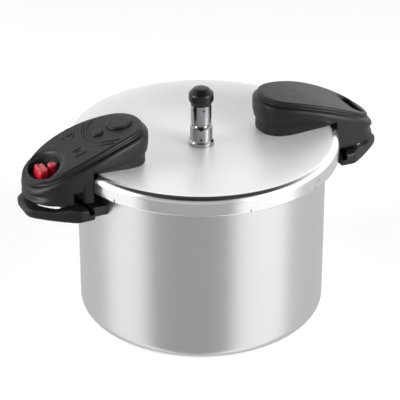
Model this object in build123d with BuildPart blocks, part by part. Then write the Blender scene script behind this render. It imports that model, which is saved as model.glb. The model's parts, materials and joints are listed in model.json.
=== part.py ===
# Stovetop pressure canner: a deep straight-sided pot, a bayonet lid with two broad covered
# handles, a weighted pressure regulator on a vent pipe, a sliding lid lock and a lift-out rack.
#
# Frame: millimetres. Z is up and the pot stands on Z = 0. X runs along the two handles, with the
# lock on the -X side. Y runs across them. The lid is shown closed, with its handles over the
# pot's handles, and the lock is drawn back.

import os
from math import cos, radians, sin

from build123d import *

os.makedirs("parts", exist_ok=True)

# ---------------------------------------------------------------- driving sizes
POT_R = 139.0            # outside radius of the pot's wall
POT_WALL = 3.0
POT_H = 200.0            # height of the rim
POT_CORNER = 14.0        # outside radius between the wall and the bottom
LID_WALL = 3.0
LID_DISH = 10.3          # how far the middle of the lid lies below its crest
REGULATOR_H = 67.7       # height of the regulator above the lid
TURN = 45.0              # angle the lid turns to come free of the pot's lugs

# ---------------------------------------------------------------- clearances
GAP = 0.5                # between bodies that move past each other
SEAT_GAP = 0.3           # under a part that rests on another body
SLIDE = 0.3              # each side of a sliding bolt or a loose pin
SCREW_HOLE = 0.2         # added to a screw's radius for the hole it passes through

# ---------------------------------------------------------------- bayonet
LUG_T = 3.0
LUG_COUNT = 4
LID_LUG_HALF = 28.0      # half the angle of one lid lug
LUG_CLEAR = 2.0          # angle left between the lugs once the lid is turned open
POT_LUG_HALF = TURN - LID_LUG_HALF - LUG_CLEAR
LUG_AT = -123.5          # direction of the first pair of lugs, in degrees from +X
LID_R = POT_R + 14.8     # outside radius of the lid's skirt
SKIRT_IN = LID_R - LID_WALL
SKIRT_Z = POT_H - 12.0   # lower edge of the skirt
LID_LUG_TOP = SKIRT_Z + LUG_T - 0.5
POT_LUG_Z = LID_LUG_TOP + GAP
LID_LUG_IN = POT_R + 1.2
POT_LUG_R = SKIRT_IN - GAP

# ---------------------------------------------------------------- lid profile
LID_FLAT_R = 22.0        # flat middle that carries the vent pipe
CREST_R = LID_R - 7.8
CREST_Z = POT_H + 9.3
MID_Z = CREST_Z - LID_DISH
CORNER_Z = CREST_Z - (LID_R - CREST_R)
GASKET_LIP_R = POT_R - POT_WALL - SEAT_GAP
STATIONS = 12            # points along the dished curve

# ---------------------------------------------------------------- lid handles
HANDLE_IN = POT_R - 71.0           # inner end of a lid handle, from the middle
HANDLE_OUT = POT_R + 71.8          # tip
HANDLE_HALF = 44.8                 # half of its greatest width
HANDLE_TOP = CREST_Z + 33.2        # height of its top at the inner end
HANDLE_DROOP = 46.5                # how far the top falls from the inner end to the tip
HANDLE_SKIRT_Z = SKIRT_Z - 9.5     # lower edge of the cover outside the lid
COVER_UP = 4.6                     # cover's lower edge above the lid's crest, at the inner end
COVER_FALL = 0.03                  # its fall towards the rim, per millimetre
SHELL_T = 3.0
SHOULDER = 5.0                     # rounding of a cover's upper edge
CAP_INSET = 5.0
CAP_T = 3.0
BASE_INSET = 3.6
BASE_UP = 6.0                      # how far a base reaches up inside its cover
BOSS_R = 5.5
BITE = 3.0                         # screw's hold in the cover
END_SLOT_L = 44.0
END_SLOT_W = 15.0
DISC_BIG = (POT_R - 42.0, 5.0, 15.0)
DISC_SMALL = (POT_R - 15.5, 2.0, 6.5)
DISC_UP = 1.6
RIM_GAP = 0.3                      # between the cover and the lid's skirt
NOTCH_OUT = 9.5                    # notch in the left cover's near wall, out from the skirt
NOTCH_L = 13.0
NOTCH_H = 13.0

# ---------------------------------------------------------------- lock and indicator
RECESS_X = POT_R + 48.5
RECESS_A = 19.5
RECESS_B = 24.0
CUP_WALL = 1.5
CUP_FLOOR = HANDLE_SKIRT_Z + 14.5
CUP_FLOOR_T = 2.0
LOCK_TRAVEL = 5.5
LEVER_X = POT_R + 51.0
LEVER_L = 12.0
LEVER_W = 21.0
LEVER_H = 15.0
BOLT_W = 10.0
BOLT_T = 4.6
BOLT_X = POT_R + 21.2              # inner face of the bolt's tongue
RISER_L = 6.0
BOLT_BAR_T = 4.5
BOLT_BAR_Z = CUP_FLOOR - 6.5       # top of the bar under the cup
BOLT_LOW = HANDLE_SKIRT_Z - 8.0    # lower end of the tongue
PIN_X = POT_R + 38.2
PIN_R = 5.2
PIN_STEM_R = 2.2
PIN_TRAVEL = 4.0
PIN_H = 16.0
CLIP_T = 1.0

# ---------------------------------------------------------------- pot handles
GRIP_TOP = HANDLE_SKIRT_Z - 2.0
GRIP_H = 16.5
GRIP_ROUND = 2.0                   # rounding of a grip's long edges
GRIP_HALF = 54.0
GRIP_OUT = POT_R + 75.3
GRIP_FACE = POT_R + 11.0           # flat face towards the pot
HOLE_IN = POT_R + 36.0
HOLE_OUT = POT_R + 60.0
HOLE_HALF = 33.0
TRACK_IN = BOLT_X - 0.7            # arc-shaped track for the bolt, from the middle
TRACK_OUT = BOLT_X + BOLT_T + 0.7
TRACK_DEPTH = 8.0
BRACKET_HALF = 44.0
BRACKET_H = 11.0
BRACKET_Z = GRIP_TOP - GRIP_H + 0.5
GRIP_SCREW_Z = GRIP_TOP - GRIP_H + 5.5
GRIP_SCREW_Y = 24.0
RIVET_Z = BRACKET_Z + BRACKET_H / 2
RIVET_Y = 12.0

# ---------------------------------------------------------------- fasteners
M5_R = 2.5
M5_HEAD_R = 4.2
M5_HEAD = 3.4
RIVET_R = 3.0
RIVET_HEAD_R = 5.5
RIVET_HEAD = 3.2

# ---------------------------------------------------------------- regulator
PIPE_R = 5.0
PIPE_BORE_R = 1.5
PIPE_TOP = MID_Z + 17.0
PIPE_SEAT_R = 9.0
PIPE_SEAT_T = 2.5
NUT_R = 9.5
NUT_T = 5.5
REG_FOOT = MID_Z + SEAT_GAP
REG_FLANGE_R = 14.2
REG_LOW_R = 12.65
REG_UP_R = 11.65
REG_NECK_R = 9.6
NEEDLE_R = 2.5
REG_CAP_R = 13.9
REG_WAIST = MID_Z + 23.0
REG_WAIST_T = 2.6
REG_CAP_Z = MID_Z + REGULATOR_H - 19.3
REG_TOP = MID_Z + REGULATOR_H

# ---------------------------------------------------------------- rack and valve parts
RACK_R = POT_R - POT_WALL - 10.0
RACK_T = 2.0
RACK_Z = 22.0
RACK_HOLE_R = 7.0
RACK_LEG_R = 4.0
PLUG_R = 8.0
PLUG_AT = (HANDLE_IN + 45.0, 22.0)


def lid_top(r):
    """Height of the lid's upper surface at radius r, inside the crest."""
    t = min(max((r - LID_FLAT_R) / (CREST_R - LID_FLAT_R), 0.0), 1.0)
    return MID_Z + LID_DISH * t**4 * (5 - 4 * t)


def lid_curve(drop):
    """Points along the dished part of the lid, lowered by drop."""
    step = (CREST_R - LID_FLAT_R) / STATIONS
    radii = [LID_FLAT_R + step * i for i in range(STATIONS + 1)]
    return [(r, lid_top(r) - drop) for r in radii]


def handle_top(r):
    """Height of a lid handle's top at distance r from the middle."""
    t = (r - HANDLE_IN) / (HANDLE_OUT - HANDLE_IN)
    return HANDLE_TOP - HANDLE_DROOP * (0.12 * t + 0.88 * t**2)


def cover_edge(r):
    """Height of the cover's lower edge above the lid at radius r."""
    return CREST_Z + COVER_UP - COVER_FALL * (r - HANDLE_IN)


def handle_outline(inset):
    """Half of a lid handle's outline: distance from the middle, half width."""
    mid = (HANDLE_IN + HANDLE_OUT) / 2
    half = (HANDLE_OUT - HANDLE_IN) / 2
    shape = [
        (-1.0, 0.0),
        (-0.965, 0.34),
        (-0.85, 0.61),
        (-0.62, 0.81),
        (-0.36, 0.915),
        (-0.10, 0.985),
        (0.16, 1.0),
        (0.44, 0.955),
        (0.68, 0.835),
        (0.86, 0.62),
        (0.965, 0.34),
        (1.0, 0.0),
    ]
    return [(mid + a * (half - inset), b * (HANDLE_HALF - inset)) for a, b in shape]


def draw_outline(side, inset):
    """Draws a lid handle's closed outline in the current sketch."""
    near = handle_outline(inset)
    far = near[-2:0:-1]
    points = [(side * r, side * w) for r, w in near] + [(side * r, -side * w) for r, w in far]
    with BuildLine() as loop:
        Spline(*points, periodic=True)
    make_face(loop.edges())


def falling_curve(side, drop):
    """Points along the handle's falling top, lowered by drop."""
    steps = 8
    first = HANDLE_IN - 8.0
    last = HANDLE_OUT + 8.0
    radii = [first + (last - first) * i / steps for i in range(steps + 1)]
    return [(side * r, handle_top(r) - drop) for r in radii]


def keep_below_top(side, drop, low):
    """Cuts the current part down to the handle's falling top surface, lowered by drop."""
    top = falling_curve(side, drop)
    with BuildSketch(Plane.XZ) as section:
        with BuildLine():
            Spline(*top)
            Polyline(top[-1], (top[-1][0], low), (top[0][0], low), top[0])
        make_face()
    extrude(section.sketch, amount=HANDLE_HALF * 2, both=True, mode=Mode.INTERSECT)


def keep_top_band(side, upper, lower):
    """Keeps the layer of the current part between two drops below the falling top."""
    top = falling_curve(side, upper)
    bottom = falling_curve(side, lower)
    with BuildSketch(Plane.XZ) as section:
        with BuildLine():
            Spline(*top)
            Spline(*bottom)
            Line(top[0], bottom[0])
            Line(top[-1], bottom[-1])
        make_face()
    extrude(section.sketch, amount=HANDLE_HALF * 2, both=True, mode=Mode.INTERSECT)


def draw_recess(side, wall):
    """Draws a handle's end opening: the lock's recess on the left, a finger slot on the right."""
    with Locations((side * RECESS_X, 0)):
        if side < 0:
            Ellipse(RECESS_A - wall, RECESS_B - wall)
        else:
            SlotOverall(END_SLOT_L, END_SLOT_W, rotation=90)


def ring_sector(inner, outer, at, half):
    """Draws a sector of a ring, centred on the direction at."""
    a, b = radians(at - half), radians(at + half)
    m = radians(at)
    with BuildLine() as loop:
        Line((inner * cos(a), inner * sin(a)), (outer * cos(a), outer * sin(a)))
        ThreePointArc(
            (outer * cos(a), outer * sin(a)),
            (outer * cos(m), outer * sin(m)),
            (outer * cos(b), outer * sin(b)),
        )
        Line((outer * cos(b), outer * sin(b)), (inner * cos(b), inner * sin(b)))
        ThreePointArc(
            (inner * cos(b), inner * sin(b)),
            (inner * cos(m), inner * sin(m)),
            (inner * cos(a), inner * sin(a)),
        )
    make_face(loop.edges())


def runs_along_top(edge):
    """True for the edges round a handle's top, not for the upright ones at its ends."""
    return edge.center().Z > HANDLE_SKIRT_Z + 15 and abs((edge % 0.5).Z) < 0.9


def end_edges(part):
    """The edges round a part's top and bottom faces."""
    faces = part.faces().sort_by(Axis.Z)
    return faces[0].edges() + faces[-1].edges()


def finish(part, name):
    """Names a finished piece and writes it out."""
    part.label = name
    export_step(part, f"parts/{name}.step")


LUG_DIRECTIONS = [LUG_AT + i * 360 / LUG_COUNT for i in range(LUG_COUNT)]
SCREW_RADII = [HANDLE_IN + 34.0, HANDLE_IN + 56.0]
SIDES = {"left": -1, "right": 1}

# ================================================================ pot
# A drawn pot with four outward lugs just below its rim.
with BuildPart() as pot_body:
    with BuildSketch(Plane.XZ):
        with BuildLine():
            Polyline((0, 0), (POT_R - POT_CORNER, 0))
            CenterArc((POT_R - POT_CORNER, POT_CORNER), POT_CORNER, -90, 90)
            Polyline(
                (POT_R, POT_CORNER),
                (POT_R, POT_H),
                (POT_R - POT_WALL, POT_H),
                (POT_R - POT_WALL, POT_CORNER),
            )
            CenterArc((POT_R - POT_CORNER, POT_CORNER), POT_CORNER - POT_WALL, -90, 90)
            Polyline((POT_R - POT_CORNER, POT_WALL), (0, POT_WALL), (0, 0))
        make_face()
    revolve(axis=Axis.Z)
    with BuildSketch(Plane.XY.offset(POT_LUG_Z)):
        for at in LUG_DIRECTIONS:
            ring_sector(POT_R - 1.0, POT_LUG_R, at, POT_LUG_HALF)
    extrude(amount=LUG_T)
    with BuildSketch(Plane.YZ.offset(-POT_R - 10)):
        with Locations((-RIVET_Y, RIVET_Z), (RIVET_Y, RIVET_Z)):
            Circle(RIVET_R)
    extrude(amount=2 * POT_R + 20, mode=Mode.SUBTRACT)
finish(pot_body.part, "pot_body")

# Grips: a broad ring that the fingers pass through, with a track for the lock's bolt across the
# top and a pocket that holds the bolt once it is slid out.
for name, side in SIDES.items():
    with BuildPart() as grip:
        with BuildSketch(Plane.XY.offset(GRIP_TOP - GRIP_H)):
            far = [
                (GRIP_FACE + 14.0, GRIP_HALF - 1.0),
                (GRIP_FACE + 26.0, GRIP_HALF - 6.0),
                (GRIP_FACE + 40.0, GRIP_HALF - 14.5),
                (GRIP_OUT - 13.0, GRIP_HALF - 24.0),
                (GRIP_OUT - 4.0, GRIP_HALF - 37.0),
                (GRIP_OUT, 0),
            ]
            with BuildLine():
                Line((side * GRIP_FACE, -GRIP_HALF), (side * GRIP_FACE, GRIP_HALF))
                Line((side * GRIP_FACE, GRIP_HALF), (side * far[0][0], far[0][1]))
                Spline(*[(side * r, w) for r, w in far], tangents=[(side, -0.2), (0, -1)])
                Spline(*[(side * r, -w) for r, w in far], tangents=[(side, 0.2), (0, 1)])
                Line((side * GRIP_FACE, -GRIP_HALF), (side * far[0][0], -far[0][1]))
            make_face()
            inner = [
                (HOLE_IN, HOLE_HALF),
                (HOLE_IN + 9.0, HOLE_HALF - 1.5),
                (HOLE_OUT - 7.0, HOLE_HALF - 11.5),
                (HOLE_OUT, 0),
            ]
            with BuildLine():
                Line((side * HOLE_IN, -HOLE_HALF), (side * HOLE_IN, HOLE_HALF))
                Spline(*[(side * r, w) for r, w in inner], tangents=[(side, 0), (0, -1)])
                Spline(*[(side * r, -w) for r, w in inner], tangents=[(side, 0), (0, 1)])
            make_face(mode=Mode.SUBTRACT)
        extrude(amount=GRIP_H)
        fillet(end_edges(grip.part), GRIP_ROUND)
        with BuildSketch(Plane.XY.offset(GRIP_TOP - TRACK_DEPTH)):
            Circle(TRACK_OUT)
            Circle(TRACK_IN, mode=Mode.SUBTRACT)
            with Locations((side * (TRACK_OUT + LOCK_TRAVEL / 2), 0)):
                Rectangle(LOCK_TRAVEL + 1.0, BOLT_W + 2 * SLIDE)
        extrude(amount=TRACK_DEPTH + 1, mode=Mode.SUBTRACT)
        with BuildSketch(Plane.YZ.offset(side * GRIP_FACE)):
            with Locations((-GRIP_SCREW_Y, GRIP_SCREW_Z), (GRIP_SCREW_Y, GRIP_SCREW_Z)):
                Circle(M5_R)
        extrude(amount=side * (HOLE_IN - GRIP_FACE), mode=Mode.SUBTRACT)
        with BuildSketch(Plane.YZ.offset(side * (HOLE_IN - M5_HEAD))):
            with Locations((-GRIP_SCREW_Y, GRIP_SCREW_Z), (GRIP_SCREW_Y, GRIP_SCREW_Z)):
                Circle(M5_HEAD_R)
        extrude(amount=side * (M5_HEAD + 1), mode=Mode.SUBTRACT)
    finish(grip.part, f"pot_handle_{name}")

    # Bracket between the pot's wall and the grip.
    with BuildPart() as bracket:
        with BuildSketch(Plane.XY.offset(BRACKET_Z)):
            with Locations((side * (GRIP_FACE - 12.0), 0)):
                Rectangle(24.0, 2 * BRACKET_HALF)
            Circle(POT_R, mode=Mode.SUBTRACT)
        extrude(amount=BRACKET_H)
        with BuildSketch(Plane.YZ.offset(side * (POT_R - 20))):
            with Locations((-RIVET_Y, RIVET_Z), (RIVET_Y, RIVET_Z)):
                Circle(RIVET_R)
        extrude(amount=side * 26, mode=Mode.SUBTRACT)
        with BuildSketch(Plane.YZ.offset(side * (GRIP_FACE - 10))):
            with Locations((-GRIP_SCREW_Y, GRIP_SCREW_Z), (GRIP_SCREW_Y, GRIP_SCREW_Z)):
                Circle(M5_R)
        extrude(amount=side * 12, mode=Mode.SUBTRACT)
    finish(bracket.part, f"pot_bracket_{name}")

# Rivets that hold the brackets to the wall, with their heads inside the pot.
RIVET_FACE = ((POT_R - POT_WALL) ** 2 - (RIVET_Y + RIVET_HEAD_R) ** 2) ** 0.5
with BuildPart() as pot_rivets:
    for side in SIDES.values():
        with BuildSketch(Plane.YZ.offset(side * (RIVET_FACE - RIVET_HEAD / 2))):
            with Locations((-RIVET_Y, RIVET_Z), (RIVET_Y, RIVET_Z)):
                Circle(RIVET_R)
        extrude(amount=side * (POT_R + 6 - RIVET_FACE + RIVET_HEAD / 2))
        with BuildSketch(Plane.YZ.offset(side * (RIVET_FACE - RIVET_HEAD))):
            with Locations((-RIVET_Y, RIVET_Z), (RIVET_Y, RIVET_Z)):
                Circle(RIVET_HEAD_R)
        extrude(amount=side * RIVET_HEAD)
finish(pot_rivets.part, "pot_rivets")

# Screws that hold the grips to the brackets, put in from the finger holes.
with BuildPart() as pot_handle_screws:
    for side in SIDES.values():
        with BuildSketch(Plane.YZ.offset(side * (GRIP_FACE - 10))):
            with Locations((-GRIP_SCREW_Y, GRIP_SCREW_Z), (GRIP_SCREW_Y, GRIP_SCREW_Z)):
                Circle(M5_R)
        extrude(amount=side * (HOLE_IN - M5_HEAD / 2 - GRIP_FACE + 10))
        with BuildSketch(Plane.YZ.offset(side * (HOLE_IN - M5_HEAD))):
            with Locations((-GRIP_SCREW_Y, GRIP_SCREW_Z), (GRIP_SCREW_Y, GRIP_SCREW_Z)):
                Circle(M5_HEAD_R)
        extrude(amount=side * (M5_HEAD - 0.6))
finish(pot_handle_screws.part, "pot_handle_screws")

# ================================================================ rack
# A perforated plate on three feet that keeps jars off the pot's bottom.
with BuildPart() as canning_rack:
    with BuildSketch(Plane.XY.offset(RACK_Z - RACK_T)):
        Circle(RACK_R)
        for ring, count in ((34.0, 6), (68.0, 12), (102.0, 18)):
            with PolarLocations(ring * RACK_R / 126, count):
                Circle(RACK_HOLE_R, mode=Mode.SUBTRACT)
        Circle(RACK_HOLE_R, mode=Mode.SUBTRACT)
    extrude(amount=RACK_T)
    with BuildSketch(Plane.XY.offset(RACK_Z - RACK_T - 4)):
        Circle(RACK_R)
        Circle(RACK_R - 2.0, mode=Mode.SUBTRACT)
    extrude(amount=4)
finish(canning_rack.part, "canning_rack")

with BuildPart() as rack_feet:
    with BuildSketch(Plane.XY.offset(POT_WALL + SEAT_GAP)):
        with PolarLocations(RACK_R * 0.68, 3, start_angle=30):
            Circle(RACK_LEG_R)
    extrude(amount=RACK_Z - RACK_T - POT_WALL - SEAT_GAP)
finish(rack_feet.part, "rack_feet")

# ================================================================ lid
# A pressed lid: dished middle, rounded crest, straight skirt, four inward lugs and the short
# relief slits where each lug is turned in.
PLUG_X, PLUG_Y = PLUG_AT
with BuildPart() as lid_shell:
    with BuildSketch(Plane.XZ):
        with BuildLine():
            Line((0, MID_Z), (LID_FLAT_R, MID_Z))
            Spline(*lid_curve(0), tangents=[(1, 0), (1, 0)])
            CenterArc((CREST_R, CORNER_Z), LID_R - CREST_R, 0, 90)
            Polyline(
                (LID_R, CORNER_Z),
                (LID_R, SKIRT_Z + 2.2),
                (LID_R - 2.0, SKIRT_Z),
                (SKIRT_IN, SKIRT_Z),
                (SKIRT_IN, CORNER_Z),
            )
            CenterArc((CREST_R, CORNER_Z), SKIRT_IN - CREST_R, 0, 90)
            Spline(*lid_curve(LID_WALL), tangents=[(1, 0), (1, 0)])
            Polyline((LID_FLAT_R, MID_Z - LID_WALL), (0, MID_Z - LID_WALL), (0, MID_Z))
        make_face()
    revolve(axis=Axis.Z)
    with BuildSketch(Plane.XY.offset(SKIRT_Z)):
        for at in LUG_DIRECTIONS:
            ring_sector(LID_LUG_IN, SKIRT_IN + 0.5, at, LID_LUG_HALF)
    extrude(amount=LID_LUG_TOP - SKIRT_Z)
    with BuildSketch(Plane.XY.offset(SKIRT_Z - 1)):
        for at in LUG_DIRECTIONS:
            for end in (-1, 1):
                ring_sector(SKIRT_IN - 1, LID_R + 1, at + end * (LID_LUG_HALF + 0.4), 0.35)
    extrude(amount=6.0, mode=Mode.SUBTRACT)
    with BuildSketch(Plane.XY.offset(MID_Z - 20)):
        Circle(PIPE_R)
        with Locations((-PLUG_X, -PLUG_Y)):
            Circle(PLUG_R - 2)
        for side in SIDES.values():
            with Locations(*[(side * r, 0) for r in SCREW_RADII]):
                Circle(M5_R + SCREW_HOLE)
    extrude(amount=40, mode=Mode.SUBTRACT)
finish(lid_shell.part, "lid_shell")

# Sealing ring, seated in the channel under the crest, with a lip inside the pot's wall.
GASKET_Z = POT_H + SEAT_GAP
with BuildPart() as lid_gasket:
    with BuildSketch(Plane.XZ):
        with BuildLine():
            Polyline(
                (SKIRT_IN, GASKET_Z),
                (SKIRT_IN, CORNER_Z - 0.2),
                (SKIRT_IN - 1.4, CORNER_Z + 2.2),
                (CREST_R, CORNER_Z + 3.9),
                (CREST_R - 6.0, CORNER_Z + 3.2),
                (GASKET_LIP_R - 2.5, GASKET_Z + 3.0),
                (GASKET_LIP_R - 3.5, GASKET_Z - 3.5),
                (GASKET_LIP_R - 1.2, GASKET_Z - 3.5),
                (GASKET_LIP_R, GASKET_Z),
                (SKIRT_IN, GASKET_Z),
            )
        make_face()
    revolve(axis=Axis.Z)
finish(lid_gasket.part, "lid_gasket")

# Stop rivets on the skirt.
with BuildPart() as skirt_rivets:
    for at in (-59.4 - 0.9, -59.4 + 0.9):
        direction = Vector(cos(radians(at)), sin(radians(at)), 0)
        with BuildSketch(Plane(origin=direction * (LID_R - 0.4) + Vector(0, 0, SKIRT_Z + 8.5),
                               z_dir=direction)):
            Circle(1.5)
        extrude(amount=1.2)
finish(skirt_rivets.part, "skirt_rivets")

# Vent pipe through the middle of the lid, with its nut inside.
with BuildPart() as vent_pipe:
    with BuildSketch(Plane.XY.offset(MID_Z - LID_WALL - NUT_T - 1.5)):
        Circle(PIPE_R)
    extrude(amount=PIPE_TOP - MID_Z + LID_WALL + NUT_T + 1.5)
    with BuildSketch(Plane.XY.offset(MID_Z)):
        Circle(PIPE_SEAT_R)
    extrude(amount=PIPE_SEAT_T)
    with BuildSketch(Plane.XY.offset(PIPE_TOP + 1)):
        Circle(PIPE_BORE_R)
    extrude(amount=-(PIPE_TOP - MID_Z + LID_WALL + NUT_T + 6), mode=Mode.SUBTRACT)
finish(vent_pipe.part, "vent_pipe")

with BuildPart() as vent_nut:
    with BuildSketch(Plane.XY.offset(MID_Z - LID_WALL)):
        RegularPolygon(radius=NUT_R, side_count=6)
        Circle(PIPE_R, mode=Mode.SUBTRACT)
    extrude(amount=-NUT_T)
finish(vent_nut.part, "vent_nut")

# Rubber relief plug in the lid, under the left handle's cover.
with BuildPart() as relief_plug:
    with BuildSketch(Plane.XY.offset(MID_Z - LID_WALL - 2.0)):
        with Locations((-PLUG_X, -PLUG_Y)):
            Circle(PLUG_R)
    extrude(amount=12)
    with BuildSketch(Plane.XZ):
        with BuildLine():
            Polyline((LID_FLAT_R, MID_Z - LID_WALL), (LID_FLAT_R, MID_Z))
            Spline(*lid_curve(0), tangents=[(1, 0), (1, 0)])
            Polyline((CREST_R, CREST_Z), (CREST_R, CREST_Z - LID_WALL))
            Spline(*lid_curve(LID_WALL), tangents=[(1, 0), (1, 0)])
        make_face()
    revolve(axis=Axis.Z, mode=Mode.SUBTRACT)
    with BuildSketch(Plane.XY.offset(MID_Z - LID_WALL - 2.0)):
        with Locations((-PLUG_X, -PLUG_Y)):
            Circle(PLUG_R - 2)
    extrude(amount=8)
finish(relief_plug.part, "relief_plug")

# ================================================================ lid handles
# Each handle has a dark base on the lid, a hollow cover that reaches out over the pot's handle,
# and a raised top panel that follows the cover's falling top.
for name, side in SIDES.items():
    with BuildPart() as base:
        with BuildSketch(Plane.XY.offset(MID_Z - 10)):
            draw_outline(side, BASE_INSET)
        extrude(amount=80)
        with BuildSketch(Plane.XZ):
            with BuildLine():
                Polyline((LID_FLAT_R, MID_Z), (LID_FLAT_R, cover_edge(LID_FLAT_R) + BASE_UP))
                Polyline(
                    (LID_FLAT_R, cover_edge(LID_FLAT_R) + BASE_UP),
                    (CREST_R, cover_edge(CREST_R) + BASE_UP),
                    (CREST_R, CREST_Z),
                )
                Spline(*lid_curve(0), tangents=[(1, 0), (1, 0)])
            make_face()
        revolve(axis=Axis.Z, mode=Mode.INTERSECT)
        with BuildSketch(Plane.XY.offset(MID_Z - 10)):
            with Locations(*[(side * r, 0) for r in SCREW_RADII]):
                Circle(M5_R)
        extrude(amount=80, mode=Mode.SUBTRACT)
        if side < 0:
            with BuildSketch(Plane.XY.offset(MID_Z - 10)):
                with Locations((-PLUG_X, -PLUG_Y)):
                    Circle(PLUG_R + 1.0)
            extrude(amount=80, mode=Mode.SUBTRACT)
    finish(base.part, f"lid_handle_base_{name}")

    with BuildPart() as cover:
        with BuildSketch(Plane.XY.offset(HANDLE_SKIRT_Z)):
            draw_outline(side, 0)
        extrude(amount=100)
        keep_below_top(side, CAP_T / 2, HANDLE_SKIRT_Z - 5)
        fillet(cover.edges().filter_by(runs_along_top), SHOULDER)
        with BuildSketch(Plane.XZ):
            with BuildLine():
                Polyline(
                    (0, HANDLE_SKIRT_Z - 5),
                    (LID_R + RIM_GAP, HANDLE_SKIRT_Z - 5),
                    (LID_R + RIM_GAP, cover_edge(LID_R)),
                    (0, cover_edge(0)),
                    (0, HANDLE_SKIRT_Z - 5),
                )
            make_face()
        revolve(axis=Axis.Z, mode=Mode.SUBTRACT)
    with BuildPart() as hollow:
        with BuildSketch(Plane.XY.offset(HANDLE_SKIRT_Z - 5)):
            draw_outline(side, SHELL_T)
        extrude(amount=100)
        keep_below_top(side, CAP_T / 2 + SHELL_T, HANDLE_SKIRT_Z - 10)
        for r in SCREW_RADII:
            with BuildSketch(Plane.XY.offset(cover_edge(r - BOSS_R) + BASE_UP)):
                with Locations((side * r, 0)):
                    Circle(BOSS_R)
            extrude(amount=100, mode=Mode.SUBTRACT)
    with BuildPart() as shell:
        add(cover.part)
        add(hollow.part, mode=Mode.SUBTRACT)
        for r in SCREW_RADII:
            with BuildSketch(Plane.XY.offset(HANDLE_SKIRT_Z)):
                with Locations((side * r, 0)):
                    Circle(M5_R)
            extrude(amount=cover_edge(r) + BASE_UP + BITE - HANDLE_SKIRT_Z, mode=Mode.SUBTRACT)
        with BuildSketch(Plane.XY.offset(HANDLE_SKIRT_Z)):
            draw_recess(side, 0)
        extrude(amount=100, mode=Mode.SUBTRACT)
        if side < 0:
            with BuildSketch(Plane.XY.offset(HANDLE_SKIRT_Z - 1)):
                with Locations((side * (LID_R + NOTCH_OUT), -HANDLE_HALF)):
                    Rectangle(NOTCH_L, 2 * BASE_INSET + 2 * SHELL_T)
            extrude(amount=NOTCH_H + 1, mode=Mode.SUBTRACT)
    finish(shell.part, f"lid_handle_cover_{name}")

    with BuildPart() as panel:
        with BuildSketch(Plane.XY.offset(HANDLE_SKIRT_Z)):
            draw_outline(side, CAP_INSET)
        extrude(amount=100)
        keep_top_band(side, -CAP_T / 2, CAP_T / 2)
        with BuildSketch(Plane.XY.offset(HANDLE_SKIRT_Z)):
            draw_recess(side, 0)
        extrude(amount=100, mode=Mode.SUBTRACT)
    finish(panel.part, f"lid_handle_panel_{name}")

# Raised discs on the left handle's panel.
with BuildPart() as panel_discs:
    with BuildSketch(Plane.XY.offset(HANDLE_SKIRT_Z)):
        with Locations((-DISC_BIG[0], DISC_BIG[1])):
            Circle(DISC_BIG[2])
        with Locations((-DISC_SMALL[0], DISC_SMALL[1])):
            Circle(DISC_SMALL[2])
    extrude(amount=100)
    keep_top_band(-1, -CAP_T / 2 - DISC_UP, -CAP_T / 2)
finish(panel_discs.part, "panel_discs")

# Screws from inside the lid, through the bases and into the covers.
with BuildPart() as lid_handle_screws:
    for side in SIDES.values():
        for r in SCREW_RADII:
            head_top = lid_top(r - M5_HEAD_R) - LID_WALL
            with BuildSketch(Plane.XY.offset(head_top - M5_HEAD)):
                with Locations((side * r, 0)):
                    Circle(M5_HEAD_R)
            extrude(amount=M5_HEAD)
            with BuildSketch(Plane.XY.offset(head_top - M5_HEAD / 2)):
                with Locations((side * r, 0)):
                    Circle(M5_R)
            extrude(amount=cover_edge(r) + BASE_UP + BITE - head_top + M5_HEAD / 2)
finish(lid_handle_screws.part, "lid_handle_screws")

# ================================================================ lid lock
# An open cup set into the left cover holds the lock's lever and the pressure indicator.
CUP_TOP = CUP_FLOOR + CUP_FLOOR_T
with BuildPart() as lock_cup:
    with BuildSketch(Plane.XY.offset(CUP_FLOOR)):
        draw_recess(-1, 0)
    extrude(amount=60)
    keep_below_top(-1, CAP_T / 2, CUP_FLOOR - 10)
    with BuildSketch(Plane.XY.offset(CUP_TOP)):
        draw_recess(-1, CUP_WALL)
    extrude(amount=60, mode=Mode.SUBTRACT)
    with BuildSketch(Plane.XY.offset(CUP_FLOOR - 1)):
        with Locations((-LEVER_X - LOCK_TRAVEL / 2, 0)):
            Rectangle(RISER_L + LOCK_TRAVEL + 2 * SLIDE, BOLT_W + 2 * SLIDE)
        with Locations((-PIN_X, 0)):
            Circle(PIN_STEM_R + SLIDE)
    extrude(amount=CUP_FLOOR_T + 2, mode=Mode.SUBTRACT)
finish(lock_cup.part, "lock_cup")

with BuildPart() as lock_lever:
    with BuildSketch(Plane.XY.offset(CUP_TOP + SEAT_GAP)):
        with Locations((-LEVER_X, 0)):
            Rectangle(LEVER_L, LEVER_W)
    extrude(amount=LEVER_H)
    chamfer(lock_lever.faces().sort_by(Axis.Z)[-1].edges(), 3.0)
    chamfer(lock_lever.edges().filter_by(Axis.Z), 2.0)
    with BuildSketch(Plane.XY.offset(CUP_TOP + SEAT_GAP + LEVER_H - 2.5)):
        with Locations((-LEVER_X, 0)):
            Rectangle(3.0, LEVER_W - 8.0)
    extrude(amount=5.0, mode=Mode.SUBTRACT)
finish(lock_lever.part, "lock_lever")

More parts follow.
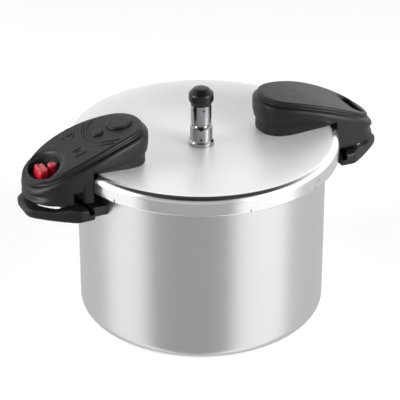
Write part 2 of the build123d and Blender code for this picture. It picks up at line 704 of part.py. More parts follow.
# The bolt: a riser under the lever, a flat bar under the cup and a tongue that reaches down into
# the track across the pot's grip.
with BuildPart() as lock_bolt:
    with BuildSketch(Plane.XZ):
        with BuildLine():
            Polyline(
                (-BOLT_X, BOLT_BAR_Z),
                (-BOLT_X, BOLT_LOW),
                (-BOLT_X - BOLT_T, BOLT_LOW),
                (-BOLT_X - BOLT_T, BOLT_BAR_Z - BOLT_BAR_T),
                (-LEVER_X - RISER_L / 2, BOLT_BAR_Z - BOLT_BAR_T),
                (-LEVER_X - RISER_L / 2, CUP_TOP + SEAT_GAP),
                (-LEVER_X + RISER_L / 2, CUP_TOP + SEAT_GAP),
                (-LEVER_X + RISER_L / 2, BOLT_BAR_Z),
                (-BOLT_X, BOLT_BAR_Z),
            )
        make_face()
    extrude(amount=BOLT_W / 2, both=True)
finish(lock_bolt.part, "lock_bolt")

# Pressure indicator: a pin that rises out of the cup, with a clip that stops it.
CLIP_Z = CUP_FLOOR - PIN_TRAVEL - 0.2 - CLIP_T
with BuildPart() as indicator_pin:
    with BuildSketch(Plane.XY.offset(CUP_TOP + SEAT_GAP)):
        with Locations((-PIN_X, 0)):
            Circle(PIN_R)
    extrude(amount=PIN_H)
    chamfer(indicator_pin.faces().sort_by(Axis.Z)[-1].edges(), 1.0)
    with BuildSketch(Plane.XY.offset(CLIP_Z - 0.8)):
        with Locations((-PIN_X, 0)):
            Circle(PIN_STEM_R)
    extrude(amount=CUP_TOP + SEAT_GAP - CLIP_Z + 0.8 + 1)
finish(indicator_pin.part, "indicator_pin")

with BuildPart() as indicator_clip:
    with BuildSketch(Plane.XY.offset(CLIP_Z)):
        with Locations((-PIN_X, 0)):
            Circle(PIN_STEM_R + 1.8)
            Circle(PIN_STEM_R, mode=Mode.SUBTRACT)
    extrude(amount=CLIP_T)
finish(indicator_clip.part, "indicator_clip")

# ================================================================ regulator
# A stack of turned weights on the vent pipe, under a moulded cap.
BORE_R = PIPE_R + SLIDE
with BuildPart() as regulator_base:
    with BuildSketch(Plane.XZ):
        with BuildLine():
            Polyline(
                (PIPE_SEAT_R + SLIDE, REG_FOOT),
                (REG_FLANGE_R, REG_FOOT),
                (REG_FLANGE_R, REG_FOOT + 3.6),
                (REG_LOW_R, REG_FOOT + 5.6),
                (REG_LOW_R, REG_WAIST - 1.2),
                (REG_LOW_R - 1.2, REG_WAIST),
                (REG_NECK_R, REG_WAIST),
                (REG_NECK_R, REG_WAIST + REG_WAIST_T),
                (NEEDLE_R, REG_WAIST + REG_WAIST_T),
                (NEEDLE_R, PIPE_TOP + 1.0),
                (BORE_R, PIPE_TOP + 1.0),
                (BORE_R, MID_Z + PIPE_SEAT_T + SEAT_GAP),
                (PIPE_SEAT_R + SLIDE, MID_Z + PIPE_SEAT_T + SEAT_GAP),
                (PIPE_SEAT_R + SLIDE, REG_FOOT),
            )
        make_face()
    revolve(axis=Axis.Z)
    for turn in (0, 120, 240):
        a = radians(turn - 115)
        direction = Vector(cos(a), sin(a), 0)
        with BuildSketch(Plane(origin=Vector(0, 0, REG_WAIST - 1.0), z_dir=direction)):
            Rectangle(3.6, 3.6)
        extrude(amount=REG_LOW_R + 5, mode=Mode.SUBTRACT)
        with BuildSketch(Plane(origin=Vector(0, 0, REG_FOOT + 9.0), z_dir=direction)):
            Circle(1.4)
        extrude(amount=REG_LOW_R + 5, mode=Mode.SUBTRACT)
finish(regulator_base.part, "regulator_base")

with BuildPart() as regulator_needle:
    with BuildSketch(Plane.XZ):
        with BuildLine():
            Polyline(
                (0, PIPE_TOP - 3.0),
                (PIPE_BORE_R - 0.4, PIPE_TOP - 2.0),
                (PIPE_BORE_R - 0.4, PIPE_TOP + 0.4),
                (NEEDLE_R, PIPE_TOP + 1.0),
                (NEEDLE_R, REG_CAP_Z),
                (0, REG_CAP_Z),
                (0, PIPE_TOP - 3.0),
            )
        make_face()
    revolve(axis=Axis.Z)
finish(regulator_needle.part, "regulator_needle")

with BuildPart() as regulator_weight:
    with BuildSketch(Plane.XZ):
        with BuildLine():
            Polyline(
                (NEEDLE_R, REG_WAIST + REG_WAIST_T),
                (REG_UP_R - 0.8, REG_WAIST + REG_WAIST_T),
                (REG_UP_R, REG_WAIST + REG_WAIST_T + 0.8),
                (REG_UP_R, REG_CAP_Z),
                (NEEDLE_R, REG_CAP_Z),
                (NEEDLE_R, REG_WAIST + REG_WAIST_T),
            )
        make_face()
    revolve(axis=Axis.Z)
    for turn in range(6):
        a = radians(60 * turn - 100)
        direction = Vector(cos(a), sin(a), 0)
        with BuildSketch(Plane(origin=direction * 8.0 + Vector(0, 0, REG_CAP_Z - 4.5),
                               z_dir=direction)):
            Circle(1.3)
        extrude(amount=8.0, mode=Mode.SUBTRACT)
finish(regulator_weight.part, "regulator_weight")

with BuildPart() as regulator_cap:
    with BuildSketch(Plane.XZ):
        with BuildLine():
            Polyline(
                (0, REG_TOP),
                (0, REG_CAP_Z),
                (REG_UP_R + 0.4, REG_CAP_Z),
                (REG_CAP_R, REG_CAP_Z + 3.0),
                (REG_CAP_R, REG_CAP_Z + 11.0),
            )
            Spline(
                (REG_CAP_R, REG_CAP_Z + 11.0),
                (REG_CAP_R - 2.6, REG_TOP - 3.2),
                (0, REG_TOP),
                tangents=[(0, 1), (-1, 0)],
            )
        make_face()
    revolve(axis=Axis.Z)
finish(regulator_cap.part, "regulator_cap")
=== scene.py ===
# %% [markdown]
# A stovetop pressure canner, built step by step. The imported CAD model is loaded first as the
# frame: it fixes every size and every moving body. The visible skin is then made round it, one
# piece at a time, and each piece rides on the body that it belongs to.

# %% Load the frame
import json
import math

import bpy
import numpy as np
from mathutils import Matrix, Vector


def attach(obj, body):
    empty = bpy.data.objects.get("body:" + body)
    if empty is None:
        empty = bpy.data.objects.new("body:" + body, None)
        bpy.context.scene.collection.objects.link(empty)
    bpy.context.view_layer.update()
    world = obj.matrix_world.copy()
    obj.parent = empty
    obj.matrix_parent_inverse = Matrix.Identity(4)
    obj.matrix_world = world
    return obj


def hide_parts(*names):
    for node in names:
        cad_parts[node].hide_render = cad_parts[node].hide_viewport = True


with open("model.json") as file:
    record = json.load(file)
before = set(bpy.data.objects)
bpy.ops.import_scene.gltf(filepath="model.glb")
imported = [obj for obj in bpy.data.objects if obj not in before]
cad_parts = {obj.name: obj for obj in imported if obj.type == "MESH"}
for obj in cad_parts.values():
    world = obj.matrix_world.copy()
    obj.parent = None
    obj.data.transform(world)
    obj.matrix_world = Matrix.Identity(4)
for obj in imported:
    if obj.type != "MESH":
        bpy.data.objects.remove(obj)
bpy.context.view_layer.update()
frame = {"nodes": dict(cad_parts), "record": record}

MM = 0.001

# %% [markdown]
# The sizes below are the canner's own, in millimetres. They repeat the driving sizes of the CAD
# model, because this script reads nothing but the frame. Keeping them in one place means that
# every curve further down is stated once.

# %% Sizes of the canner
POT_R, POT_WALL, POT_H, POT_CORNER = 139.0, 3.0, 200.0, 14.0
LID_R, SKIRT_IN, SKIRT_Z = 153.8, 150.8, 188.0
CREST_R, CREST_Z, MID_Z = 146.0, 209.3, 199.0
LID_WALL, LID_FLAT_R, LID_DISH = 3.0, 22.0, 10.3
LUG_AT, LID_LUG_HALF, POT_LUG_HALF = -123.5, 28.0, 15.0
HANDLE_IN, HANDLE_OUT, HANDLE_HALF = 68.0, 210.8, 44.8
HANDLE_TOP, HANDLE_DROOP, HANDLE_SKIRT_Z, PANEL_UP = 242.5, 46.5, 178.5, 1.5
RECESS_X, RECESS_A, RECESS_B = 187.5, 19.5, 24.0
REG_TOP, REG_CAP_Z, REG_CAP_R, REG_UP_R = 266.7, 247.4, 13.9, 11.65


def handle_top(r):
    """Height of a handle's top: it falls from the inner end to the tip, partly in proportion to
    the distance gone and mostly with its square."""
    t = (r - HANDLE_IN) / (HANDLE_OUT - HANDLE_IN)
    return HANDLE_TOP - HANDLE_DROOP * (0.12 * t + 0.88 * t**2)


def lid_top(r):
    """Height of the lid's top at radius r: flat in the middle, then rising with the fourth power
    of the way to the crest, times five less four times that way, so it ends level."""
    t = np.clip((r - LID_FLAT_R) / (CREST_R - LID_FLAT_R), 0.0, 1.0)
    return MID_Z + LID_DISH * t**4 * (5 - 4 * t)


print("lid rises", round(float(lid_top(CREST_R) - lid_top(0.0)), 1), "mm from middle to crest")

# %% [markdown]
# The camera comes before anything else, so that each piece can be judged as soon as it is made.
# A long lens from a little over two metres keeps the pot's walls nearly parallel, and it looks
# down at about 28 degrees, with the lock's handle nearer.

# %% Camera
cam_data = bpy.data.cameras.new("camera")
cam = bpy.data.objects.new("camera", cam_data)
bpy.context.scene.collection.objects.link(cam)
cam_data.sensor_width = 36.0
cam_data.lens = 181.2
cam_data.shift_x = -0.003
cam_data.shift_y = 0.030
azimuth, elevation, distance = math.radians(-25.0), math.radians(28.45), 2.284
back = Vector((
    math.sin(azimuth) * math.cos(elevation),
    -math.cos(azimuth) * math.cos(elevation),
    math.sin(elevation),
))
cam.location = Vector((0.0, 0.0, 0.1112)) + back * distance
cam.rotation_mode = "QUATERNION"
cam.rotation_quaternion = (-back).to_track_quat("-Z", "Y")
cam_data.clip_start, cam_data.clip_end = 0.05, 60.0
bpy.context.scene.camera = cam
print("camera at", tuple(round(v, 3) for v in cam.location))

# %% [markdown]
# Polished metal shows its surroundings more than its own colour, so the studio matters as much as
# the material. Above the horizon the sky is bright low down and dark overhead, which puts the dark
# line along the lid's rounded crest. Below the horizon it stands for the studio floor as the metal
# sees it: mid grey, with two bright stretches where the side lights fall, which put the upright
# bands on the pot. The side behind the camera is dimmer, as a room behind a photographer is.

# %% Sky, floor and lights
scene = bpy.context.scene
scene.view_settings.view_transform = "Standard"


def math_node(tree, operation, a, b=None):
    """One maths node; a and b are sockets or numbers."""
    node = tree.nodes.new("ShaderNodeMath")
    node.operation = operation
    for i, value in enumerate((a, b)):
        if value is None:
            continue
        if isinstance(value, (int, float)):
            node.inputs[i].default_value = value
        else:
            tree.links.new(value, node.inputs[i])
    return node.outputs[0]


def ramp_node(tree, factor, stops):
    """A grey ramp through (place, value) stops, read at factor."""
    node = tree.nodes.new("ShaderNodeValToRGB")
    bands = node.color_ramp
    for i, (place, value) in enumerate(stops):
        stop = bands.elements[i] if i < 2 else bands.elements.new(place)
        stop.position = place
        stop.color = (value, value, value, 1)
    tree.links.new(factor, node.inputs["Fac"])
    return node.outputs["Color"]


def degrees_to_place(degrees):
    """Where a direction lies on a ramp that runs once round, from straight behind the pot."""
    return (degrees + 180.0) / 360.0


world = bpy.data.worlds.new("studio")
scene.world = world
world.use_nodes = True
sky = world.node_tree
sky.nodes.clear()
sky_out = sky.nodes.new("ShaderNodeOutputWorld")
sky_back = sky.nodes.new("ShaderNodeBackground")
sky_parts = sky.nodes.new("ShaderNodeSeparateXYZ")
sky_coord = sky.nodes.new("ShaderNodeTexCoord")
sky.links.new(sky_coord.outputs["Generated"], sky_parts.inputs[0])
east, north, up = sky_parts.outputs[0], sky_parts.outputs[1], sky_parts.outputs[2]
bearing = math_node(sky, "ARCTAN2", east, math_node(sky, "MULTIPLY", north, -1.0))
from_camera = math_node(sky, "SUBTRACT", bearing, azimuth)
round_once = math_node(sky, "FRACT", math_node(sky, "ADD", math_node(
    sky, "DIVIDE", from_camera, 2 * math.pi), 0.5))
UPPER = [(0.0, 1.0), (0.86, 0.03), (0.26, 1.0), (0.47, 0.86), (0.62, 0.78), (0.72, 0.44),
         (0.79, 0.10)]
FRONT = [(0.0, 1.0), (1.0, 1.0), *[(degrees_to_place(turn), value) for turn, value in (
    (-64, 1.0), (-46, 0.40), (26, 0.40), (40, 1.0))]]
LOWER = [(0.0, 0.45), (1.0, 0.45), *[(degrees_to_place(turn), value) for turn, value in (
    (-106, 0.44), (-90, 0.73), (-58, 0.75), (-44, 0.29), (24, 0.30), (36, 0.77), (80, 0.82),
    (92, 0.46))]]
SKY_STRENGTH, HORIZON = 1.34, -0.06
height_tone = ramp_node(sky, up, UPPER)
front_tone = ramp_node(sky, round_once, FRONT)
above = sky.nodes.new("ShaderNodeVectorMath")
above.operation = "MULTIPLY"
sky.links.new(height_tone, above.inputs[0])
sky.links.new(front_tone, above.inputs[1])
below = ramp_node(sky, round_once, LOWER)
halves = sky.nodes.new("ShaderNodeMix")
halves.data_type = "RGBA"
sky.links.new(math_node(sky, "GREATER_THAN", up, HORIZON), halves.inputs["Factor"])
sky.links.new(below, halves.inputs["A"])
sky.links.new(above.outputs[0], halves.inputs["B"])
sky.links.new(halves.outputs["Result"], sky_back.inputs["Color"])
sky.links.new(sky_back.outputs[0], sky_out.inputs[0])
sky_back.inputs["Strength"].default_value = SKY_STRENGTH

floor_mesh = bpy.data.meshes.new("floor")
FLOOR = 40.0
floor_corners = [(-FLOOR, -FLOOR, 0), (FLOOR, -FLOOR, 0), (FLOOR, FLOOR, 0), (-FLOOR, FLOOR, 0)]
floor_mesh.from_pydata(floor_corners, [], [(0, 1, 2, 3)])
floor = bpy.data.objects.new("floor", floor_mesh)
scene.collection.objects.link(floor)
floor.visible_glossy = False


def softbox(name, place, aim, width, height, power):
    """A soft rectangular light that faces the point aim."""
    data = bpy.data.lights.new(name, "AREA")
    data.shape = "RECTANGLE"
    data.size, data.size_y = width, height
    data.energy = power
    lamp = bpy.data.objects.new(name, data)
    scene.collection.objects.link(lamp)
    lamp.location = place
    lamp.rotation_mode = "QUATERNION"
    lamp.rotation_quaternion = (Vector(aim) - Vector(place)).to_track_quat("-Z", "Y")
    return lamp


def round_camera(turn, reach, height):
    """A place reach metres from the pot, turned by turn degrees from the camera's side, with
    positive turns to the camera's right."""
    a = azimuth + math.radians(turn)
    return (math.sin(a) * reach, -math.cos(a) * reach, height)


LIGHT_REACH, LIGHT_UP, LIGHT_AIM, LIGHT_SIZE, LIGHT_POWER = 1.9, 0.72, (0, 0, 0.12), (0.9, 1.4), 30
for light_name, light_turn in (("left_light", -70), ("right_light", 62)):
    softbox(light_name, round_camera(light_turn, LIGHT_REACH, LIGHT_UP), LIGHT_AIM, *LIGHT_SIZE,
            LIGHT_POWER)

# %% [markdown]
# A finish is more than one colour. Four effects are shared by several finishes here, so each is a
# node group with named inputs: fine spun lines round the Z axis, moulded grain, handling marks, and
# a rim mask that changes a value at one distance from the axis. A group only puts out values; the
# shader stays in the material.

# %% Shared shader effects


def new_group(name, inputs, outputs):
    """An empty shader node group with named sockets, and its input and output nodes."""
    group = bpy.data.node_groups.new(name, "ShaderNodeTree")
    for label, kind, value in inputs:
        socket = group.interface.new_socket(label, in_out="INPUT", socket_type=kind)
        if value is not None:
            socket.default_value = value
    for label, kind in outputs:
        group.interface.new_socket(label, in_out="OUTPUT", socket_type=kind)
    return group, group.nodes.new("NodeGroupInput"), group.nodes.new("NodeGroupOutput")


def noise_node(tree, vector, scale, detail, rough=0.5):
    """Three-dimensional noise at that scale."""
    node = tree.nodes.new("ShaderNodeTexNoise")
    node.inputs["Detail"].default_value = detail
    node.inputs["Roughness"].default_value = rough
    if isinstance(scale, (int, float)):
        node.inputs["Scale"].default_value = scale
    else:
        tree.links.new(scale, node.inputs["Scale"])
    tree.links.new(vector, node.inputs["Vector"])
    return node.outputs["Fac"]


def axis_distance(tree, x, y):
    """Distance from the Z axis: the square root of x squared plus y squared."""
    square = math_node(tree, "ADD", math_node(tree, "MULTIPLY", x, x),
                       math_node(tree, "MULTIPLY", y, y))
    return math_node(tree, "SQRT", square)


# Lines left by turning and brushing: noise stretched along the circumference, so it varies
# quickly with height and with distance from the axis and slowly round it.
spun, spun_in, spun_out = new_group(
    "spun_lines",
    [("Vector", "NodeSocketVector", None), ("Lines per metre", "NodeSocketFloat", 900.0),
     ("Depth", "NodeSocketFloat", 0.1)],
    [("Height", "NodeSocketFloat"), ("Variation", "NodeSocketFloat")],
)
parts = spun.nodes.new("ShaderNodeSeparateXYZ")
spun.links.new(spun_in.outputs["Vector"], parts.inputs[0])
radius = axis_distance(spun, parts.outputs[0], parts.outputs[1])
across = spun.nodes.new("ShaderNodeCombineXYZ")
spun.links.new(math_node(spun, "MULTIPLY", radius, spun_in.outputs[1]), across.inputs[0])
spun.links.new(math_node(spun, "MULTIPLY", parts.outputs[2], spun_in.outputs[1]), across.inputs[1])
turn = math_node(spun, "ARCTAN2", parts.outputs[1], parts.outputs[0])
spun.links.new(math_node(spun, "COSINE", turn), across.inputs[2])
fine = noise_node(spun, across.outputs[0], 1.0, 3.0, 0.6)
broad = noise_node(spun, across.outputs[0], 0.13, 2.0)
spun.links.new(math_node(spun, "MULTIPLY", fine, spun_in.outputs[2]), spun_out.inputs[0])
spun.links.new(math_node(spun, "ADD", math_node(spun, "MULTIPLY", fine, 0.6),
                         math_node(spun, "MULTIPLY", broad, 0.4)), spun_out.inputs[1])

# Grain of a moulded handle: two scales of noise, one added to the other.
grain, grain_in, grain_out = new_group(
    "moulded_grain",
    [("Vector", "NodeSocketVector", None), ("Grain per metre", "NodeSocketFloat", 1100.0),
     ("Depth", "NodeSocketFloat", 0.15)],
    [("Height", "NodeSocketFloat"), ("Variation", "NodeSocketFloat")],
)
speck = noise_node(grain, grain_in.outputs["Vector"], grain_in.outputs[1], 2.0, 0.6)
cloud = noise_node(grain, grain_in.outputs["Vector"], 22.0, 3.0)
grain.links.new(math_node(grain, "MULTIPLY", speck, grain_in.outputs[2]), grain_out.inputs[0])
grain.links.new(math_node(grain, "ADD", math_node(grain, "MULTIPLY", speck, 0.35),
                          math_node(grain, "MULTIPLY", cloud, 0.65)), grain_out.inputs[1])

# Handling marks: a soft mask that is 0 on most of the surface and rises in a few patches.
marks, marks_in, marks_out = new_group(
    "handling_marks",
    [("Vector", "NodeSocketVector", None), ("Patches per metre", "NodeSocketFloat", 30.0),
     ("Amount", "NodeSocketFloat", 0.5)],
    [("Mask", "NodeSocketFloat")],
)
patch = noise_node(marks, marks_in.outputs["Vector"], marks_in.outputs[1], 4.0, 0.62)
lift = math_node(marks, "MULTIPLY", math_node(marks, "SUBTRACT", patch, 0.52), 4.0)
clamped = marks.nodes.new("ShaderNodeClamp")
marks.links.new(lift, clamped.inputs["Value"])
marks.links.new(math_node(marks, "MULTIPLY", clamped.outputs[0], marks_in.outputs[2]),
                marks_out.inputs[0])

# Rim mask: one value within a radius of the Z axis and another outside it, with a step 3 mm wide.
rim, rim_in, rim_out = new_group(
    "rim_mask",
    [("Vector", "NodeSocketVector", None), ("Radius", "NodeSocketFloat", 0.1),
     ("Inside value", "NodeSocketFloat", 0.0), ("Outside value", "NodeSocketFloat", 1.0)],
    [("Value", "NodeSocketFloat")],
)
rim_parts = rim.nodes.new("ShaderNodeSeparateXYZ")
rim.links.new(rim_in.outputs["Vector"], rim_parts.inputs[0])
RIM_STEP = 0.003
rim_away = axis_distance(rim, rim_parts.outputs[0], rim_parts.outputs[1])
rim_step = rim.nodes.new("ShaderNodeClamp")
rim.links.new(math_node(rim, "DIVIDE", math_node(rim, "SUBTRACT", rim_away, rim_in.outputs["Radius"]),
                        RIM_STEP), rim_step.inputs["Value"])
rim_span = math_node(rim, "SUBTRACT", rim_in.outputs["Outside value"], rim_in.outputs["Inside value"])
rim.links.new(math_node(rim, "ADD", rim_in.outputs["Inside value"],
                        math_node(rim, "MULTIPLY", rim_step.outputs[0], rim_span)),
              rim_out.inputs[0])

print("groups:", [g.name for g in bpy.data.node_groups])

# %% [markdown]
# Every finish is the same recipe with its own numbers: a base colour that varies a little, a
# roughness that varies with the marks, and a bump from the fine pattern. One function states the
# recipe, and a table of finishes calls it.

# %% Finishes


def finish(name, colour, roughness, metallic=0.0, pattern="moulded_grain", scale=1100.0, depth=0.15,
           bump=0.2, shade=0.12, mark=0.1, spread=0.06, coat=0.0, coat_rough=0.1, specular=0.5):
    """A material. colour varies by shade, roughness by spread, and handling marks add up to mark
    to the roughness. bump is the strength of the pattern's relief."""
    made = bpy.data.materials.new(name)
    made.use_nodes = True
    tree = made.node_tree
    tree.nodes.clear()
    out = tree.nodes.new("ShaderNodeOutputMaterial")
    skin = tree.nodes.new("ShaderNodeBsdfPrincipled")
    tree.links.new(skin.outputs[0], out.inputs[0])
    coord = tree.nodes.new("ShaderNodeTexCoord").outputs["Object"]
    lines = tree.nodes.new("ShaderNodeGroup")
    lines.node_tree = bpy.data.node_groups[pattern]
    tree.links.new(coord, lines.inputs[0])
    lines.inputs[1].default_value = scale
    lines.inputs[2].default_value = depth
    worn = tree.nodes.new("ShaderNodeGroup")
    worn.node_tree = bpy.data.node_groups["handling_marks"]
    tree.links.new(coord, worn.inputs[0])
    worn.inputs[2].default_value = mark
    mix = tree.nodes.new("ShaderNodeMix")
    mix.data_type = "RGBA"
    dark = tuple(c * (1 - shade) for c in colour)
    light = tuple(min(1.0, c * (1 + shade)) for c in colour)
    mix.inputs["A"].default_value = (*dark, 1)
    mix.inputs["B"].default_value = (*light, 1)
    tree.links.new(lines.outputs["Variation"], mix.inputs["Factor"])
    tree.links.new(mix.outputs["Result"], skin.inputs["Base Color"])
    varied = math_node(tree, "MULTIPLY", math_node(tree, "SUBTRACT", lines.outputs["Variation"], 0.5),
                       spread * 2)
    rough = math_node(tree, "ADD", math_node(tree, "ADD", varied, roughness), worn.outputs["Mask"])
    tree.links.new(rough, skin.inputs["Roughness"])
    relief = tree.nodes.new("ShaderNodeBump")
    relief.inputs["Strength"].default_value = bump
    relief.inputs["Distance"].default_value = 0.0002
    tree.links.new(lines.outputs["Height"], relief.inputs["Height"])
    tree.links.new(relief.outputs[0], skin.inputs["Normal"])
    skin.inputs["Metallic"].default_value = metallic
    skin.inputs["Coat Weight"].default_value = coat
    skin.inputs["Coat Roughness"].default_value = coat_rough
    skin.inputs["Specular IOR Level"].default_value = specular
    return made


FINISHES = {
    "satin_aluminium": finish("satin_aluminium", (0.77, 0.77, 0.78), 0.28, 1.0, "spun_lines", 420.0,
                              0.3, 0.02, 0.03, 0.03, 0.02),
    "polished_aluminium": finish("polished_aluminium", (0.93, 0.93, 0.94), 0.12, 1.0, "spun_lines",
                                 700.0, 0.4, 0.15, 0.02, 0.04, 0.03),
    "plain_aluminium": finish("plain_aluminium", (0.70, 0.70, 0.71), 0.38, 1.0, "spun_lines", 900.0,
                              0.3, 0.2, 0.06, 0.08, 0.05),
    "chrome": finish("chrome", (0.38, 0.38, 0.39), 0.10, 1.0, "spun_lines", 2600.0, 0.2, 0.06, 0.03,
                     0.05, 0.02),
    "steel": finish("steel", (0.56, 0.56, 0.57), 0.32, 1.0, "spun_lines", 1500.0, 0.3, 0.2, 0.08,
                    0.1, 0.06),
    "handle_black": finish("handle_black", (0.008, 0.008, 0.009), 0.42, 0.0, "moulded_grain", 1000.0,
                           0.4, 0.30, 0.15, 0.08, 0.06, specular=0.34),
    "handle_base_black": finish("handle_base_black", (0.010, 0.010, 0.011), 0.50, 0.0,
                                "moulded_grain", 1000.0, 0.4, 0.30, 0.15, 0.08, 0.06, specular=0.35),
    "bracket_black": finish("bracket_black", (0.02, 0.02, 0.021), 0.42, 0.0, "moulded_grain", 900.0,
                            0.3, 0.3, 0.15, 0.10, 0.06),
    "cup_black": finish("cup_black", (0.018, 0.018, 0.020), 0.42, 0.0, "moulded_grain", 1300.0, 0.3,
                        0.25, 0.15, 0.10, 0.06),
    "cap_black": finish("cap_black", (0.004, 0.004, 0.005), 0.30, 0.0, "moulded_grain", 1500.0, 0.2,
                        0.10, 0.15, 0.06, 0.04, specular=0.40),
    "lever_red": finish("lever_red", (0.52, 0.012, 0.030), 0.26, 0.0, "moulded_grain", 1500.0, 0.2,
                        0.10, 0.10, 0.06, 0.04, 0.3, 0.12),
    "indicator_red": finish("indicator_red", (0.60, 0.020, 0.050), 0.24, 0.0, "moulded_grain", 1500.0,
                            0.2, 0.10, 0.10, 0.06, 0.04, 0.3, 0.12),
    "seal_rubber": finish("seal_rubber", (0.16, 0.16, 0.165), 0.6, 0.0, "moulded_grain", 1500.0, 0.3,
                          0.3, 0.10, 0.08, 0.05),
}


def by_rim(made, radius, metal, rough):
    """Gives a material one metallic value and added roughness inside radius and another outside.
    metal and rough are (inside, outside) pairs."""
    tree = made.node_tree
    skin = next(n for n in tree.nodes if n.bl_idname == "ShaderNodeBsdfPrincipled")
    coord = next(n for n in tree.nodes if n.bl_idname == "ShaderNodeTexCoord").outputs["Object"]
    sockets = []
    for inside, outside in (metal, rough):
        node = tree.nodes.new("ShaderNodeGroup")
        node.node_tree = bpy.data.node_groups["rim_mask"]
        tree.links.new(coord, node.inputs["Vector"])
        node.inputs["Radius"].default_value = radius
        node.inputs["Inside value"].default_value = inside
        node.inputs["Outside value"].default_value = outside
        sockets.append(node.outputs[0])
    tree.links.new(sockets[0], skin.inputs["Metallic"])
    varied = skin.inputs["Roughness"].links[0].from_socket
    tree.links.new(math_node(tree, "ADD", varied, sockets[1]), skin.inputs["Roughness"])


LID_SATIN_R = 0.1440
by_rim(FINISHES["polished_aluminium"], LID_SATIN_R, (0.36, 1.0), (0.30, 0.04))
slot_of = {part["node"]: part["material_slot"] for part in frame["record"]["subparts"]}
for node_name, node in frame["nodes"].items():
    node.data.materials.clear()
    node.data.materials.append(FINISHES[slot_of[node_name]])
print("finishes:", len(FINISHES), "on", len(slot_of), "nodes")

# %% [markdown]
# The floor is a plain pale sheet. It glows slightly so that it stays near white without a strong
# lamp overhead, which would show in the lid. Only the camera sees the glow.

# %% Floor finish
FLOOR_GLOW = 0.26
pale = bpy.data.materials.new("floor_pale")
pale.use_nodes = True
pale_skin = pale.node_tree.nodes["Principled BSDF"]
pale_skin.inputs["Base Color"].default_value = (0.90, 0.90, 0.90, 1)
pale_skin.inputs["Roughness"].default_value = 0.9
pale_skin.inputs["Specular IOR Level"].default_value = 0.1
pale_skin.inputs["Emission Color"].default_value = (1, 1, 1, 1)
pale_path = pale.node_tree.nodes.new("ShaderNodeLightPath")
pale_glow = math_node(pale.node_tree, "MULTIPLY", pale_path.outputs["Is Camera Ray"], FLOOR_GLOW)
pale.node_tree.links.new(pale_glow, pale_skin.inputs["Emission Strength"])
floor_mesh.materials.append(pale)
print("floor is pale and plain")

# %% [markdown]
# Most new pieces are grids: a profile carried round a path. One function turns such a grid of
# points into a closed mesh. Points that fall together, as at a pole, become one point, and the
# squares there become triangles. It measures the signed volume, which is negative when the faces
# look inwards, and turns them round if so.

# %% Grids and turned pieces


def grid_piece(name, points, body, slot, around=True, closed=True, sharp=38.0):
    """A mesh from points[i, j], in millimetres. i runs round the piece if around is true, and j
    runs along its profile, which closes on itself if closed is true."""
    rows, cols = points.shape[:2]
    index = np.arange(rows * cols).reshape(rows, cols)
    i0 = index if around else index[:-1]
    i1 = np.roll(index, -1, axis=0) if around else index[1:]
    a, b = (i0, i1) if closed else (i0[:, :-1], i1[:, :-1])
    d = np.roll(i0, -1, axis=1) if closed else i0[:, 1:]
    c = np.roll(i1, -1, axis=1) if closed else i1[:, 1:]
    faces = np.stack([a, b, c, d], axis=-1).reshape(-1, 4)
    flat = points.reshape(-1, 3) * MM
    p, q, r, s = (flat[faces[:, k]] for k in range(4))
    volume = np.sum(np.einsum("ij,ij->i", p, np.cross(q, r)) + np.einsum("ij,ij->i", p, np.cross(r, s)))
    if volume < 0:
        faces = faces[:, ::-1]
    flat, kept = np.unique(np.round(flat, 7), axis=0, return_inverse=True)
    faces = kept.reshape(-1)[faces]
    repeated = faces == np.roll(faces, -1, axis=1)
    squares = faces[~repeated.any(axis=1)]
    poles = repeated.sum(axis=1) == 1
    triangles = faces[poles][~repeated[poles]].reshape(-1, 3)
    mesh = bpy.data.meshes.new(name)
    mesh.from_pydata(flat.tolist(), [], squares.tolist() + triangles.tolist())
    mesh.validate()
    mesh.shade_smooth()
    mesh.set_sharp_from_angle(angle=math.radians(sharp))
    mesh.materials.append(FINISHES[slot])
    piece = bpy.data.objects.new(name, mesh)
    scene.collection.objects.link(piece)
    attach(piece, body)
    print(name, len(mesh.vertices), "points")
    return piece


def arc(cx, cz, radius, start, end, count=8):
    """Points on a circle's arc from start to end, in degrees."""
    t = np.radians(np.linspace(start, end, count))
    return np.stack([cx + radius * np.cos(t), cz + radius * np.sin(t)], axis=1)


def line(a, b, count=2):
    """Evenly spaced points from a to b."""
    return np.linspace(a, b, count)


def join(*runs):
    """Runs of profile points put end to end, with repeated points dropped."""
    whole = np.concatenate(runs)
    step = np.linalg.norm(np.diff(whole, axis=0), axis=1)
    return whole[np.concatenate([[True], step > 1e-4])]


def turned(name, profile, body, slot, count=256, centre=(0.0, 0.0), **more):
    """A turned piece: the profile of (radius, height) goes once round an upright axis. Where the
    profile touches the axis the pole's points fall together."""
    angle = np.linspace(0, 2 * np.pi, count, endpoint=False)[:, None]
    x = centre[0] + profile[None, :, 0] * np.cos(angle)
    y = centre[1] + profile[None, :, 0] * np.sin(angle)
    z = np.broadcast_to(profile[None, :, 1], x.shape)
    return grid_piece(name, np.stack([x, y, z], axis=-1), body, slot, **more)


print("helpers ready")

# %% [markdown]
# The pot is drawn from one disc of aluminium: flat bottom, rounded corner, straight wall and a
# rolled rim. As a turned piece it is one closed profile, outside and inside in a single loop. The
# four lugs that hold the lid are short ring sectors under the rim.

